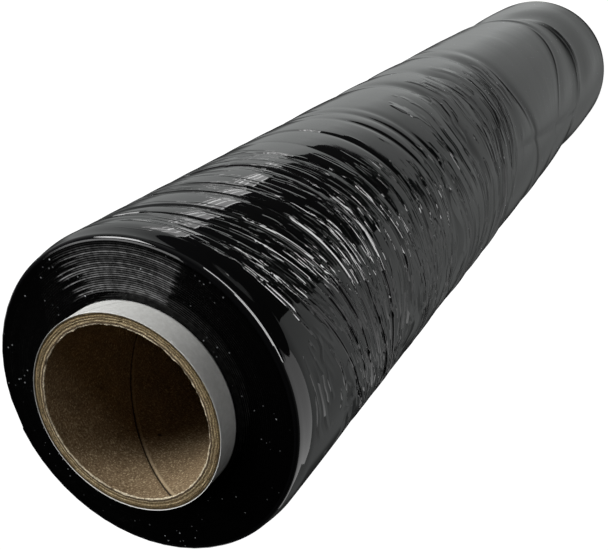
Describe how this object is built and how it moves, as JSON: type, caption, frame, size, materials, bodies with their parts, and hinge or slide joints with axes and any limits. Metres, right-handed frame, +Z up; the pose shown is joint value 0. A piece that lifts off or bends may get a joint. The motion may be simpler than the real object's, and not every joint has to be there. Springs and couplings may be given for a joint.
{
  "type": "stretch wrap roll",
  "caption": "Long hand roll of black stretch film wound on a cardboard tube that stands out of the film at both ends.",
  "frame": {"origin": "middle of the core's foot ring, on the surface that the roll stands on", "axes": "+Z up along the core's axis, -Y towards the side of the film that the picture shows"},
  "size_m": [0.0968, 0.097, 0.5155],
  "materials": {
    "core_board": "matte",
    "black_film": "gloss"
  },
  "bodies": {
    "root": {"cardboard_core": "core_board", "film_roll": "black_film"}
  },
  "joints": []
}
